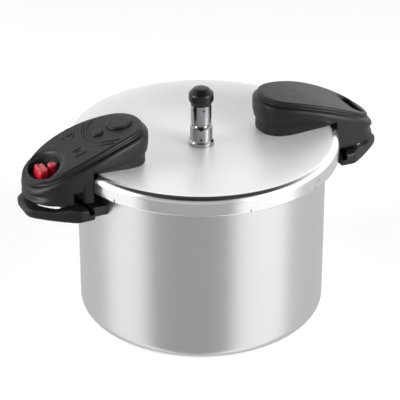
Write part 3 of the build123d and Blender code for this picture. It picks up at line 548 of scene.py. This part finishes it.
# %% Pot wall and lugs
corner_r = POT_R - POT_CORNER
pot_profile = join(
    line((0.0, 0.6), (60.0, 0.6), 7), line((62.0, 0.0), (corner_r, 0.0), 6),
    arc(corner_r, POT_CORNER, POT_CORNER, -90, 0, 14),
    line((POT_R, POT_CORNER), (POT_R, POT_H - 1.2), 20),
    arc(POT_R - 1.2, POT_H - 1.2, 1.2, 0, 90, 5),
    arc(POT_R - POT_WALL + 1.2, POT_H - 1.2, 1.2, 90, 180, 5),
    line((POT_R - POT_WALL, POT_H - 1.2), (POT_R - POT_WALL, POT_CORNER), 20),
    arc(corner_r, POT_CORNER, POT_CORNER - POT_WALL, 0, -90, 12),
    line((corner_r, POT_WALL), (0.0, POT_WALL), 13),
)
pot_wall = turned("pot_wall", pot_profile, "pot", "satin_aluminium", 288)


def sector(name, section, middles, half, body, slot, count=24):
    """Ring sectors: a closed section of (radius, height) carried along an arc each side of every
    middle angle, with its ends drawn to a point so that each sector is closed."""
    pieces = []
    centre = section.mean(axis=0)
    for number, middle in enumerate(middles):
        t = np.radians(np.linspace(middle - half, middle + half, count))
        loop = np.repeat(section[None], count + 4, axis=0)
        loop[0] = loop[-1] = centre
        loop[1] = loop[-2] = centre + (section - centre) * 0.9
        angle = np.concatenate([[t[0], t[0]], t, [t[-1], t[-1]]])[:, None]
        points = np.stack([loop[..., 0] * np.cos(angle), loop[..., 0] * np.sin(angle), loop[..., 1]],
                          axis=-1)
        pieces.append(grid_piece(f"{name}_{number + 1}", points, body, slot, around=False))
    return pieces


LUG_MIDDLES = [LUG_AT + 90 * i for i in range(4)]
pot_lug_section = join(line((138.5, 191.0), (149.4, 191.0), 5), arc(149.5, 191.8, 0.8, -90, 0, 4),
                       arc(149.5, 193.2, 0.8, 0, 90, 4), line((149.4, 194.0), (138.5, 194.0), 5))
pot_lugs = sector("pot_lug", pot_lug_section, LUG_MIDDLES, POT_LUG_HALF, "pot", "satin_aluminium")
for piece in [pot_wall, *pot_lugs]:
    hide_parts("pot_body")

# %% [markdown]
# The lid is pressed and polished: a dished middle, a rounded crest and a straight skirt. Its lower
# edge has short slits where each lug is turned in. The slits are made in the same grid: columns of
# points close together at those angles, whose lower edge is lifted.

# %% Lid
dish_r = np.linspace(LID_FLAT_R, CREST_R, 50)
top_run = np.stack([dish_r, lid_top(dish_r)], axis=1)
under_run = top_run[::-1] - np.array([0.0, LID_WALL])
corner_z = CREST_Z - (LID_R - CREST_R)
lid_profile = join(
    line((5.2, MID_Z), (LID_FLAT_R, MID_Z), 8), top_run,
    arc(CREST_R, corner_z, LID_R - CREST_R, 90, 0, 22),
    line((LID_R, corner_z), (LID_R, SKIRT_Z + 2.4), 10),
    arc(LID_R - 2.2, SKIRT_Z + 2.2, 2.2, 0, -90, 6),
    line((LID_R - 2.2, SKIRT_Z), (SKIRT_IN, SKIRT_Z + 0.3), 2),
    line((SKIRT_IN, SKIRT_Z + 0.3), (SKIRT_IN, corner_z), 8),
    arc(CREST_R, corner_z, SKIRT_IN - CREST_R, 0, 90, 10),
    under_run, line((LID_FLAT_R, MID_Z - LID_WALL), (5.2, MID_Z - LID_WALL), 6),
)
slit_angles = np.array([m + s * (LID_LUG_HALF + 0.4) for m in LUG_MIDDLES for s in (-1, 1)]) % 360
slit_half = 0.35
even = np.linspace(0, 360, 360, endpoint=False)
even = even[np.min(np.abs((even[:, None] - slit_angles + 180) % 360 - 180), axis=1) > 0.5]
edges_of_slits = (slit_angles[:, None] + np.array([-1, -1, 1, 1]) * slit_half
                  + np.array([-0.02, 0.02, -0.02, 0.02])).ravel()
lid_angles = np.sort(np.concatenate([even, edges_of_slits % 360]))
near_slit = np.min(np.abs((lid_angles[:, None] - slit_angles + 180) % 360 - 180), axis=1)
in_slit = (near_slit < slit_half)[:, None]
rad, hgt = lid_profile[None, :, 0], lid_profile[None, :, 1]
low_part = (hgt < SKIRT_Z + 5.5) & (rad > 149.0)
lid_z = np.where(in_slit & low_part, np.maximum(hgt, SKIRT_Z + 5.0), hgt)
lid_a = np.radians(lid_angles)[:, None]
lid_points = np.stack([rad * np.cos(lid_a), rad * np.sin(lid_a), lid_z], axis=-1)
lid_skin = grid_piece("lid_skin", lid_points, "lid", "polished_aluminium")
lid_lug_section = join(line((151.4, 190.5), (140.6, 190.5), 5), arc(140.8, 189.9, 0.6, 90, 180, 4),
                       arc(140.8, 188.6, 0.6, 180, 270, 4), line((140.8, 188.0), (151.4, 188.0), 5))
lid_lugs = sector("lid_lug", lid_lug_section, LUG_MIDDLES, LID_LUG_HALF, "lid", "polished_aluminium", 48)
for piece in [lid_skin, *lid_lugs]:
    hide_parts("lid_shell")

# %% [markdown]
# Both lid handles have the same outline: a long rounded shape, broadest just past the middle. It is
# drawn as a closed cubic curve through a ring of points, which keeps its bend even all the way
# round. Solving for the curve's slopes takes one small set of equations.

# %% Outline of a lid handle
OUTLINE = np.array([
    (-1.0, 0.0), (-0.965, 0.34), (-0.85, 0.61), (-0.62, 0.81), (-0.36, 0.915), (-0.10, 0.985),
    (0.16, 1.0), (0.44, 0.955), (0.68, 0.835), (0.86, 0.62), (0.965, 0.34), (1.0, 0.0),
])


def closed_curve(knots, count):
    """Points on the smooth closed curve through knots. Each span is a cubic in the distance
    between its two knots, and the slopes are the ones that make the bend match at every knot."""
    n = len(knots)
    gap = np.linalg.norm(np.roll(knots, -1, axis=0) - knots, axis=1)
    before = np.roll(gap, 1)
    rise = (np.roll(knots, -1, axis=0) - knots) / gap[:, None]
    system = np.zeros((n, n))
    rows = np.arange(n)
    system[rows, rows] = 2 * (gap + before)
    system[rows, (rows + 1) % n] = before
    system[rows, (rows - 1) % n] = gap
    slopes = np.linalg.solve(system, 3 * (before[:, None] * rise + gap[:, None] * np.roll(rise, 1, axis=0)))
    place = np.linspace(0, gap.sum(), count, endpoint=False)
    start = np.concatenate([[0], np.cumsum(gap)[:-1]])
    span = np.clip(np.searchsorted(start, place, side="right") - 1, 0, n - 1)
    h = gap[span][:, None]
    t = (place - start[span])[:, None] / h
    after = (span + 1) % n
    return (knots[span] * (2 * t**3 - 3 * t**2 + 1) + slopes[span] * h * (t**3 - 2 * t**2 + t)
            + knots[after] * (3 * t**2 - 2 * t**3) + slopes[after] * h * (t**3 - t**2))


def handle_outline(inset, count=1600):
    """The handle's outline, drawn in by inset: (distance from the lid's middle, width)."""
    half = (HANDLE_OUT - HANDLE_IN) / 2
    ring = np.concatenate([OUTLINE, OUTLINE[-2:0:-1] * np.array([1, -1])])
    knots = np.stack([(HANDLE_IN + HANDLE_OUT) / 2 + ring[:, 0] * (half - inset),
                      ring[:, 1] * (HANDLE_HALF - inset)], axis=1)
    return closed_curve(knots, count)


def reach(curve, centre, angle):
    """How far the closed curve lies from centre in each direction, read from its points."""
    away = curve - np.asarray(centre)
    direction = np.arctan2(away[:, 1], away[:, 0])
    order = np.argsort(direction)
    return np.interp(angle, direction[order], np.linalg.norm(away, axis=1)[order], period=2 * np.pi)


print("handle outline is", round(float(np.ptp(handle_outline(0.0)[:, 1])), 1), "mm wide")

# %% [markdown]
# A cover could be a block with rounded edges, but the real one has a falling top, a dark groove
# under a soft shoulder, a swelling band and a wall that drops past the lid's rim. So it is made as
# rings about the opening near its tip: each ring has a distance in from the outline and a height,
# and the grid between them is the whole shell, outside, opening and inside.

# %% Handle covers
OPENING = (RECESS_X, 0.0)
COVER_UP, COVER_FALL, RIM_GAP = 4.6, 0.03, 0.3
NOTCH, NOTCH_HIGH = (156.8, 169.8), 13.0
CUP_FLOOR_Z, SLOT_FLOOR_Z, SLOT_HALF_L, SLOT_HALF_W = 192.9, 179.5, 22.0, 7.5


def oval(angle, a, b):
    """Distance to an ellipse's edge in each direction from its middle."""
    return a * b / np.sqrt((b * np.cos(angle)) ** 2 + (a * np.sin(angle)) ** 2)


def slot_shape(angle, half_length, half_width):
    """Distance to the edge of a round-ended slot that lies across the handle."""
    c, s = np.abs(np.cos(angle)), np.abs(np.sin(angle))
    flat_side = half_width / np.maximum(c, 1e-6)
    k = half_length - half_width
    round_end = k * s + np.sqrt(np.maximum(half_width**2 - (k * c) ** 2, 0.0))
    return np.where(flat_side * s <= k, flat_side, round_end)


def cover_low(radius):
    """Height of a cover's lower edge: a gentle slope over the lid, and down past it outside."""
    return np.where(radius < LID_R + RIM_GAP, CREST_Z + COVER_UP - COVER_FALL * (radius - HANDLE_IN),
                    HANDLE_SKIRT_Z)


def cover_angles(notch):
    """Directions of the cover's columns, with pairs close together at each sharp step of the
    lower edge: at the lid's rim, and at both sides of the notch if there is one."""
    even = np.linspace(-np.pi, np.pi, 400, endpoint=False)
    rim = handle_outline(0.0, 6000)
    away = rim - np.array(OPENING)
    turn = np.arctan2(away[:, 1], away[:, 0])
    outside = np.linalg.norm(rim, axis=1) >= LID_R + RIM_GAP
    steps = list(turn[outside != np.roll(outside, 1)])
    near = rim[:, 1] < -10
    for x in notch:
        steps.append(float(turn[near][np.argmin(np.abs(rim[near, 0] - x))]))
    pairs = (np.array(steps)[:, None] + np.array([-0.0025, 0.0025])).ravel()
    clear = np.min(np.abs(even[:, None] - pairs[None]), axis=1) > 0.005
    return np.sort(np.concatenate([even[clear], pairs]))


def cover(name, side, opening, floor_z, notch, slot_name):
    """A handle cover on that side (-1 is the lock's). opening gives the edge of the hole in each
    direction, floor_z is where the hole's wall stops, and notch is the two ends of a square notch
    in the near wall's lower edge."""
    angle = cover_angles(notch)
    c, s = np.cos(angle), np.sin(angle)

    def at(distance):
        return OPENING[0] + distance * c, OPENING[1] + distance * s

    edge = {d: reach(handle_outline(d), OPENING, angle) for d in (0.0, 8.0)}

    def inset(d):
        return edge[0.0] + (edge[8.0] - edge[0.0]) * d / 8.0

    rim_x, rim_y = at(edge[0.0])
    low = cover_low(np.hypot(rim_x, rim_y))
    if notch:
        inside = (rim_x < notch[1]) & (rim_x > notch[0]) & (rim_y < 0)
        low = np.where(inside, low + NOTCH_HIGH, low)
    tip = np.clip((rim_x - 178.0) / 26.0, 0, 1) ** 1.5
    rings = []

    def ring(distance, height):
        x, y = at(distance)
        rings.append(np.stack([side * x, y, np.broadcast_to(height, x.shape)], axis=1))

    def surface(distance, drop):
        x, _ = at(distance)
        ring(distance, handle_top(x) + PANEL_UP - drop)

    for z in np.linspace(0, 1, 7):
        x, _ = at(opening)
        ring(opening, floor_z + (handle_top(x) - 2.2 - floor_z) * z)
    for out, drop in ((0.15, 2.6), (0.6, 1.5), (1.4, 0.75), (2.4, 0.25), (3.6, 0.05)):
        surface(opening + out, drop)
    for t in np.linspace(0, 1, 34)[1:-1]:
        surface((opening + 3.6) * (1 - t) + inset(7.6) * t, 0.0)
    for d, drop in ((7.6, 0.04), (6.8, 0.2), (6.1, 0.6), (5.6, 1.2), (5.35, 2.0), (5.35, 3.0),
                    (5.5, 4.0), (5.45, 4.9), (5.0, 5.6), (4.2, 5.8), (3.2, 5.9), (2.2, 6.2),
                    (1.3, 6.9), (0.65, 7.8), (0.2, 9.0), (0.02, 10.4)):
        surface(inset(d), drop)
    x, _ = at(edge[0.0])
    start = handle_top(x) + PANEL_UP - 10.4
    for t in np.linspace(0, 1, 14)[1:]:
        height = start + (low + 0.8 - start) * t
        swell = 1.6 * np.clip((t - 0.3) / 0.7, 0, 1) ** 2 * (low > 190)
        waist = 3.2 * tip * np.sin(np.pi * np.clip(t * 1.1, 0, 1)) ** 2
        ring(inset(swell + waist), height)
    for d, up in ((0.25, 0.25), (0.8, 0.0), (2.2, 0.0), (2.8, 0.3)):
        ring(inset(d + 1.6 * (low > 190)), low + up)
    for t in np.linspace(0, 1, 6)[1:]:
        x, _ = at(inset(4.2))
        ring(inset(4.2), low + 1.0 + (handle_top(x) - 7.0 - low - 1.0) * t)
    for t in np.linspace(0, 1, 8)[1:]:
        distance = inset(5.0) * (1 - t) + (opening + 1.8) * t
        x, _ = at(distance)
        ring(distance, handle_top(x) - 7.0)
    x, _ = at(opening)
    ring(opening + 1.8, np.full_like(angle, floor_z))
    points = np.stack(rings, axis=1)
    made = grid_piece(name, points, "lid", slot_name, sharp=50.0)
    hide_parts(f"lid_handle_cover_{'left' if side < 0 else 'right'}",
                f"lid_handle_panel_{'left' if side < 0 else 'right'}")


cover("left_cover", -1, oval(cover_angles(NOTCH), RECESS_A, RECESS_B), CUP_FLOOR_Z, NOTCH,
      "handle_black")
cover("right_cover", 1, slot_shape(cover_angles(()), SLOT_HALF_L, SLOT_HALF_W), SLOT_FLOOR_Z, (),
      "handle_black")

# %% [markdown]
# Small raised shapes on the left cover mark what is under it: a large disc, a small disc, two
# curved scale lines with ticks, and two plain symbols. Each follows the falling top, so its points
# are laid out flat first and then lifted on to the surface.

# %% Raised shapes on the left cover


def on_cover(x, y, height):
    """Points on the left cover at distance x along it and y across it, raised by height."""
    return np.stack([-x, y, handle_top(x) + PANEL_UP + height], axis=-1)


def raised_disc(name, x, y, radius, height):
    """A low disc with a rounded edge: radius against height, turned about its own middle."""
    profile = join(line((0.0, height), (radius - 1.4, height), 8),
                   arc(radius - 1.4, height - 1.4, 1.4, 90, 0, 7),
                   line((radius, height - 1.4), (radius, -0.6), 3), line((radius, -0.6), (0.0, -0.6), 4))
    angle = np.linspace(0, 2 * np.pi, 96, endpoint=False)[:, None]
    px = x + profile[None, :, 0] * np.cos(angle)
    py = y + profile[None, :, 0] * np.sin(angle)
    points = on_cover(px, py, np.broadcast_to(profile[None, :, 1], px.shape))
    return grid_piece(name, points, "lid", "handle_black", closed=False)


big_disc = raised_disc("big_disc", 97.0, 5.0, 14.5, 2.6)
small_disc = raised_disc("small_disc", 123.5, 2.0, 6.3, 2.4)
for piece in (big_disc, small_disc):
    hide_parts("panel_discs")


def raised_line(name, path, width, height):
    """A thin raised line: a half-round section carried along path, with its ends closed by
    drawing the last section in to a point."""
    step = np.gradient(path, axis=0)
    side = np.stack([-step[:, 1], step[:, 0]], axis=1)
    side /= np.linalg.norm(side, axis=1)[:, None]
    t = np.linspace(0, np.pi, 7)
    across = np.concatenate([np.cos(t) * width / 2, [-width / 2 * 0.9, width / 2 * 0.9]])
    up = np.concatenate([np.sin(t) * height, [-0.3, -0.3]])
    scale = np.ones(len(path))
    scale[[0, -1]] = 0.0
    flat = path[:, None] + side[:, None] * (across[None] * scale[:, None])[..., None]
    points = on_cover(flat[..., 0], flat[..., 1], up[None] * scale[:, None])
    return grid_piece(name, points, "lid", "handle_black", around=False)


def bow(cx, cy, radius, start, end, count=40):
    """Points on an arc in the plane of the cover, with its first and last point doubled."""
    t = np.radians(np.linspace(start, end, count))
    path = np.stack([cx + radius * np.cos(t), cy + radius * np.sin(t)], axis=1)
    return np.concatenate([path[:1] * 2 - path[1:2], path, path[-1:] * 2 - path[-2:-1]])


def stroke(*corners):
    """Straight strokes through corners, with a few points on each."""
    runs = [np.linspace(a, b, 6, endpoint=False) for a, b in zip(corners[:-1], corners[1:])]
    return np.concatenate([*runs, [corners[-1]]])


SCALE_X, SCALE_Y = 103.0, 3.0
raised_line("scale_outer", bow(SCALE_X, SCALE_Y, 37.0, -66, 48), 1.3, 0.7)
raised_line("scale_inner", bow(SCALE_X, SCALE_Y, 31.0, -76, 62), 1.3, 0.7)
for number, turn_at in enumerate(np.linspace(-64, 46, 13)):
    a = math.radians(turn_at)
    ends = [(SCALE_X + r * math.cos(a), SCALE_Y + r * math.sin(a)) for r in (33.0, 35.0)]
    raised_line(f"scale_tick_{number + 1}", stroke(*ends), 1.3, 0.65)
raised_line("mark_corner", stroke((141.0, 24.0), (157.0, 24.0), (157.0, 11.0)), 1.4, 0.7)
raised_line("mark_arrow", stroke((157.5, 31.0), (148.0, 16.0), (142.0, 22.5)), 1.6, 0.75)
raised_line("mark_square", stroke((146.0, -9.0), (158.0, -9.0), (158.0, -21.0), (146.0, -21.0),
                                  (146.0, -9.5)), 1.3, 0.7)
raised_line("mark_inner", stroke((149.5, -12.5), (155.0, -12.5), (155.0, -18.0)), 1.3, 0.7)

# %% [markdown]
# The lock's lever is pushed by a thumb, so it is a short upright block with rounded corners that
# narrows towards its top and has a hollow across it. Each of its level sections is a rectangle
# with soft corners, which one power of the cosine and sine draws without any corner cases. The
# pressure indicator beside it is a plain turned pin with a rounded head.

# %% Lever and indicator pin
LEVER_X, PIN_X, CUP_TOP = 190.0, 177.2, 195.0


def soft_block(name, body, slot, centre, levels, dip=0.0, power=5.0, count=72):
    """A closed block built from level sections (half length, half width, height). Each section's
    edge is the half size times the cosine or sine raised to 2/power, sign kept. dip lowers the top
    towards its middle line across the block."""
    t = np.linspace(0, 2 * np.pi, count, endpoint=False)[:, None]
    levels = np.asarray(levels)
    x = np.sign(np.cos(t)) * np.abs(np.cos(t)) ** (2 / power) * levels[None, :, 0]
    y = np.sign(np.sin(t)) * np.abs(np.sin(t)) ** (2 / power) * levels[None, :, 1]
    high = levels[:, 2].max()
    sink = dip * np.exp(-(x / 2.4) ** 2) * (levels[None, :, 2] > high - 0.6)
    z = levels[None, :, 2] - sink
    points = np.stack([centre[0] + x, centre[1] + y, z], axis=-1)
    return grid_piece(name, points, body, slot, closed=False, sharp=32.0)


foot = CUP_TOP + 0.3
lever = soft_block("lever", "lock", "lever_red", (-LEVER_X, 0.0), [
    (0.0, 0.0, foot), (3.0, 6.0, foot), (5.7, 10.2, foot), (6.0, 10.5, foot + 0.3),
    (6.0, 10.5, foot + 5.0), (5.7, 10.2, foot + 9.5), (5.3, 9.8, foot + 12.6),
    (4.9, 9.3, foot + 13.9), (4.2, 8.5, foot + 14.6), (3.4, 7.6, foot + 14.9),
    (2.6, 6.6, foot + 15.0), (1.4, 5.2, foot + 15.0), (0.6, 3.0, foot + 15.0),
    (0.0, 0.0, foot + 15.0)], dip=2.2)
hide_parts("lock_lever")

PIN_R, PIN_H = 5.2, 16.0
PIN_TOP = CUP_TOP + 0.3 + PIN_H
pin_profile = join(
    line((0.0, foot), (PIN_R - 0.4, foot), 4), line((PIN_R, foot + 0.4), (PIN_R, PIN_TOP - 1.5), 10),
    arc(PIN_R - 1.5, PIN_TOP - 1.5, 1.5, 0, 90, 8), line((PIN_R - 1.5, PIN_TOP), (2.4, PIN_TOP), 3),
    line((2.2, PIN_TOP - 0.5), (0.0, PIN_TOP - 0.6), 4))
stem_profile = join(line((0.0, 187.0), (1.9, 187.0), 3), line((2.2, 187.3), (2.2, foot + 0.2), 6),
                    line((2.2, foot + 0.2), (0.0, foot + 0.2), 3))
pin = turned("pin_head", pin_profile, "indicator", "indicator_red", 96, (-PIN_X, 0.0), closed=False)
stem = turned("pin_stem", stem_profile, "indicator", "indicator_red", 48, (-PIN_X, 0.0),
              closed=False)
for piece in (pin, stem):
    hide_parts("indicator_pin")

# %% [markdown]
# The regulator's cap is moulded: its underside tapers in to the metal, its side stands upright, and
# a broad bevel leads up to a nearly flat top. All of it is one turned profile, with short arcs at
# each change of direction for the light to catch.

# %% Regulator cap
cap_profile = join(
    line((0.0, REG_CAP_Z), (REG_UP_R - 0.6, REG_CAP_Z), 6),
    arc(REG_UP_R - 0.6, REG_CAP_Z + 0.6, 0.6, -90, -30, 4),
    line((REG_UP_R + 0.1, REG_CAP_Z + 0.9), (REG_CAP_R - 0.4, REG_CAP_Z + 4.6), 6),
    arc(REG_CAP_R - 1.4, REG_CAP_Z + 5.6, 1.4, -25, 0, 5),
    line((REG_CAP_R, REG_CAP_Z + 5.8), (REG_CAP_R, REG_TOP - 7.6), 6),
    arc(REG_CAP_R - 2.4, REG_TOP - 7.6, 2.4, 0, 40, 6),
    line((REG_CAP_R - 0.7, REG_TOP - 5.8), (8.8, REG_TOP - 1.3), 6),
    arc(6.4, REG_TOP - 4.2, 3.7, 50, 84, 5),
    line((5.8, REG_TOP - 0.3), (0.0, REG_TOP), 5))
cap = turned("weight_cap", cap_profile, "regulator", "cap_black", 128, closed=False)
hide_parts("regulator_cap")

# %% [markdown]
# The pot's grips are thick rounded rings, pressed in one with their ends square towards the pot.
# A ring is easiest to draw round the finger hole's middle: in every direction it has an inner edge
# and an outer edge, and between them a section that is a soft rectangle. Its top falls away
# towards the tip, which leaves a gap under the lid handle for a glimpse of light. The lock's bolt
# runs in a track cut down into the top, so the section dips there.

# %% Pot grips
GRIP_TOP, GRIP_H, GRIP_HALF = 176.5, 16.5, 54.0
GRIP_FACE, GRIP_OUT, HOLE_IN, HOLE_OUT, HOLE_HALF = 150.0, 214.3, 175.0, 199.0, 33.0
GRIP_MID, GRIP_FALL = 181.0, 4.6
TRACK_IN, TRACK_OUT, TRACK_DEPTH, POCKET_OUT, POCKET_HALF = 159.5, 165.5, 8.0, 171.4, 5.4


def corner_curve(corners, rounding, count=1600):
    """A closed outline through straight runs between corners, with each corner drawn as a cubic
    that starts and ends at the given distance from it and leans on the corner twice."""
    corners = np.asarray(corners, float)
    before = np.roll(corners, 1, axis=0) - corners
    after = np.roll(corners, -1, axis=0) - corners
    cut = np.asarray(rounding, float)[:, None]
    first = corners + before / np.linalg.norm(before, axis=1)[:, None] * cut
    last = corners + after / np.linalg.norm(after, axis=1)[:, None] * cut
    t = np.linspace(0, 1, 24)[None, :, None]
    bend = ((1 - t) ** 3 * first[:, None] + 3 * t * (1 - t) * corners[:, None]
            + t**3 * last[:, None])
    ring = bend.reshape(-1, 2)
    ring = np.concatenate([ring, ring[:1]])
    length = np.concatenate([[0], np.cumsum(np.linalg.norm(np.diff(ring, axis=0), axis=1))])
    place = np.linspace(0, length[-1], count, endpoint=False)
    return np.stack([np.interp(place, length, ring[:, k]) for k in (0, 1)], axis=1)


def grip(name, side):
    """One grip. For each direction from the hole's middle the section goes from the hole's edge to
    the outer edge. Its depth follows a soft rectangle, and its top sinks by up to 4.6 mm towards
    the tip."""
    angle = np.linspace(-np.pi, np.pi, 420, endpoint=False)
    centre = (GRIP_MID, 0.0)
    outer = reach(corner_curve(
        [(GRIP_FACE, -GRIP_HALF), (GRIP_FACE + 17.0, -GRIP_HALF), (GRIP_OUT - 19.0, -33.0),
         (GRIP_OUT, -17.0), (GRIP_OUT, 17.0), (GRIP_OUT - 19.0, 33.0), (GRIP_FACE + 17.0, GRIP_HALF),
         (GRIP_FACE, GRIP_HALF)], (2.5, 8.0, 13.0, 14.0, 14.0, 13.0, 8.0, 2.5)), centre, angle)
    inner = reach(corner_curve(
        [(HOLE_IN, -HOLE_HALF), (HOLE_IN + 9.0, -HOLE_HALF + 2.0), (HOLE_OUT, -12.0),
         (HOLE_OUT, 12.0), (HOLE_IN + 9.0, HOLE_HALF - 2.0), (HOLE_IN, HOLE_HALF)],
        (3.0, 6.0, 11.0, 11.0, 6.0, 3.0)), centre, angle)
    turn = np.linspace(0, 2 * np.pi, 56, endpoint=False)[None]
    c, s = np.cos(turn), np.sin(turn)
    middle = ((outer + inner) / 2)[:, None]
    half = ((outer - inner) / 2)[:, None]
    to_tip = np.clip((np.cos(angle)[:, None] + 0.35) / 1.35, 0, 1)
    power = 5.0 - 1.6 * to_tip
    across = np.sign(c) * np.abs(c) ** (2 / power)
    up = np.sign(s) * np.abs(s) ** (2 / power)
    radius = middle + half * across
    x = centre[0] + radius * np.cos(angle)[:, None]
    y = radius * np.sin(angle)[:, None]
    z = GRIP_TOP - GRIP_H / 2 + GRIP_H / 2 * up
    fall = np.clip((x - 170.0) / 22.0, 0, 1)
    z = z - np.clip(up, 0, 1) * GRIP_FALL * fall**2 * (3 - 2 * fall)
    away = np.hypot(x, y)
    in_track = (away > TRACK_IN) & (away < TRACK_OUT)
    in_pocket = (away < POCKET_OUT) & (away > TRACK_IN) & (np.abs(y) < POCKET_HALF)
    z = np.where((in_track | in_pocket) & (up > 0), np.minimum(z, GRIP_TOP - TRACK_DEPTH), z)
    made = grid_piece(name, np.stack([side * x, y, z], axis=-1), "pot", "handle_black", sharp=40.0)
    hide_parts(f"pot_handle_{'left' if side < 0 else 'right'}")


grip("left_grip", -1)
grip("right_grip", 1)
